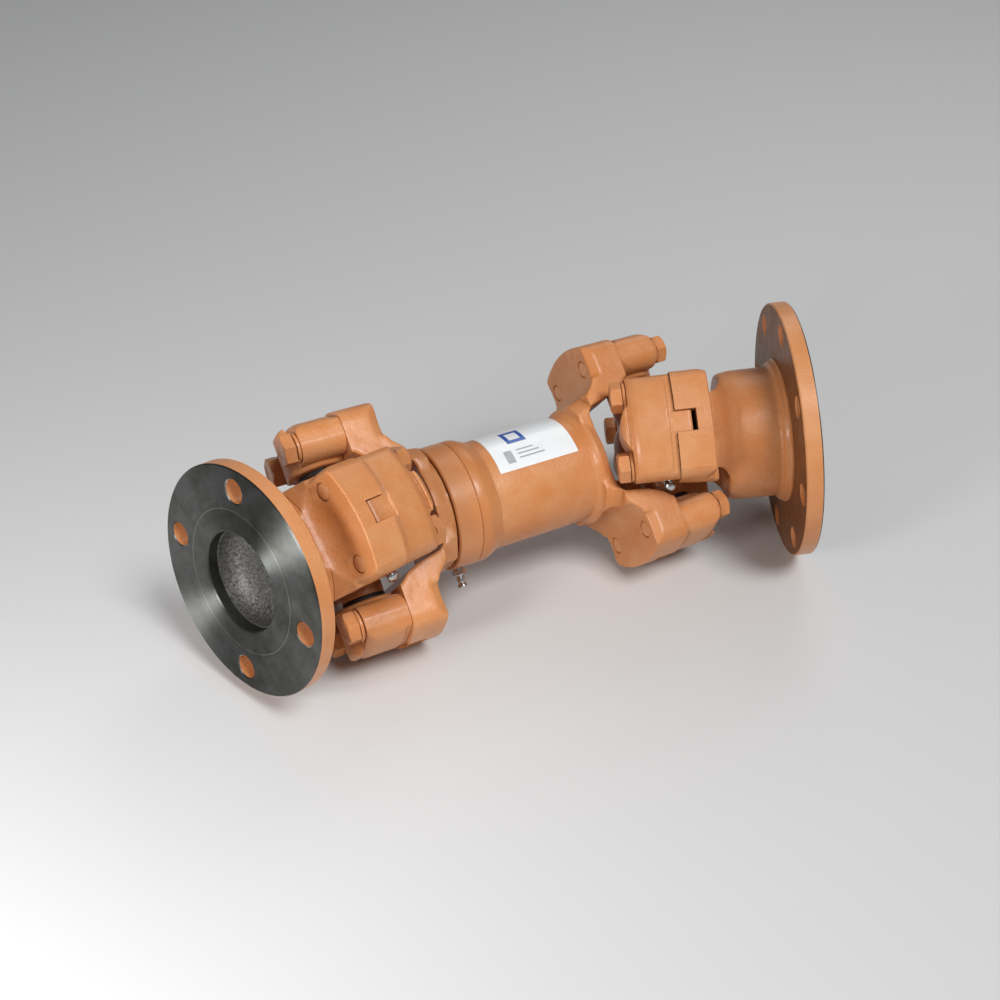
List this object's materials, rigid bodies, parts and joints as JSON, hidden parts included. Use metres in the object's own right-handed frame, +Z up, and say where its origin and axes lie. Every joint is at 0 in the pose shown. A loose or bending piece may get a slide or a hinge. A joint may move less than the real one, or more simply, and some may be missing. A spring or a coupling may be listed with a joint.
{
  "type": "universal joint shaft",
  "caption": "Cardan drive shaft with a sliding spline: a wing-bearing universal joint at each end and two unequal bolt-on flange yokes, painted orange.",
  "frame": {"origin": "centre of the base of the bounding box, with the shaft lying flexed on its side", "axes": "+X along the length towards the larger flange, +Z up"},
  "size_m": [0.5665, 0.245, 0.2157],
  "materials": {
    "orange_paint": "semi-gloss sprayed orange enamel over castings",
    "bearing_steel": "ground hardened steel",
    "zinc_plate": "bright zinc plate",
    "black_rubber": "matte moulded rubber"
  },
  "bodies": {
    "shaft_yoke": {"spline_shaft_yoke": "orange_paint", "spline_cover_tube": "orange_paint", "seal_cap": "orange_paint", "wiper_seal": "black_rubber", "slip_grease_nipple": "zinc_plate", "shaft_yoke_bearing_block_1": "orange_paint", "shaft_yoke_needle_bearing_1": "bearing_steel", "shaft_yoke_bearing_block_2": "orange_paint", "shaft_yoke_needle_bearing_2": "bearing_steel", "shaft_yoke_bolt_1": "orange_paint", "shaft_yoke_lock_washer_1": "orange_paint", "shaft_yoke_bolt_2": "orange_paint", "shaft_yoke_lock_washer_2": "orange_paint", "shaft_yoke_bolt_3": "orange_paint", "shaft_yoke_lock_washer_3": "orange_paint", "shaft_yoke_bolt_4": "orange_paint", "shaft_yoke_lock_washer_4": "orange_paint"},
    "sleeve_yoke": {"spline_sleeve_yoke": "orange_paint", "sleeve_yoke_bearing_block_1": "orange_paint", "sleeve_yoke_needle_bearing_1": "bearing_steel", "sleeve_yoke_bearing_block_2": "orange_paint", "sleeve_yoke_needle_bearing_2": "bearing_steel", "sleeve_yoke_bolt_1": "orange_paint", "sleeve_yoke_lock_washer_1": "orange_paint", "sleeve_yoke_bolt_2": "orange_paint", "sleeve_yoke_lock_washer_2": "orange_paint", "sleeve_yoke_bolt_3": "orange_paint", "sleeve_yoke_lock_washer_3": "orange_paint", "sleeve_yoke_bolt_4": "orange_paint", "sleeve_yoke_lock_washer_4": "orange_paint"},
    "left_cross": {"left_cross": "orange_paint", "left_cross_grease_nipple": "zinc_plate"},
    "right_cross": {"right_cross": "orange_paint", "right_cross_grease_nipple": "zinc_plate"},
    "left_flange_yoke": {"left_flange_yoke": "orange_paint", "left_flange_bearing_block_1": "orange_paint", "left_flange_needle_bearing_1": "bearing_steel", "left_flange_bearing_block_2": "orange_paint", "left_flange_needle_bearing_2": "bearing_steel", "left_flange_bolt_1": "orange_paint", "left_flange_lock_washer_1": "orange_paint", "left_flange_bolt_2": "orange_paint", "left_flange_lock_washer_2": "orange_paint", "left_flange_bolt_3": "orange_paint", "left_flange_lock_washer_3": "orange_paint", "left_flange_bolt_4": "orange_paint", "left_flange_lock_washer_4": "orange_paint"},
    "right_flange_yoke": {"right_flange_yoke": "orange_paint", "right_flange_bearing_block_1": "orange_paint", "right_flange_needle_bearing_1": "bearing_steel", "right_flange_bearing_block_2": "orange_paint", "right_flange_needle_bearing_2": "bearing_steel", "right_flange_bolt_1": "orange_paint", "right_flange_lock_washer_1": "orange_paint", "right_flange_bolt_2": "orange_paint", "right_flange_lock_washer_2": "orange_paint", "right_flange_bolt_3": "orange_paint", "right_flange_lock_washer_3": "orange_paint", "right_flange_bolt_4": "orange_paint", "right_flange_lock_washer_4": "orange_paint"}
  },
  "joints": [
    {"name": "slip", "type": "slide", "parent": "shaft_yoke", "child": "sleeve_yoke", "axis": [0.9999, 0, 0.0127], "range_m": [0, 0.025]},
    {"name": "left_cross_pivot", "type": "hinge", "parent": "shaft_yoke", "child": "left_cross", "pos_m": [-0.1613, 0.0306, 0.0901], "axis": [-0.0087, 0.7284, 0.6851], "range_deg": [-38.3, 1.6]},
    {"name": "left_flange_pivot", "type": "hinge", "parent": "left_cross", "child": "left_flange_yoke", "pos_m": [-0.1613, 0.0306, 0.0901], "axis": [-0.3053, 0.6505, -0.6954], "range_deg": [-11.5, 28.4]},
    {"name": "right_cross_pivot", "type": "hinge", "parent": "sleeve_yoke", "child": "right_cross", "pos_m": [0.12078, 0.0306, 0.09369], "axis": [-0.0087, 0.7284, 0.6851], "range_deg": [-0.7, 47.2]},
    {"name": "right_flange_pivot", "type": "hinge", "parent": "right_cross", "child": "right_flange_yoke", "pos_m": [0.12078, 0.0306, 0.09369], "axis": [0.4029, 0.6296, -0.6642], "range_deg": [-29.5, 0.4]}
  ]
}
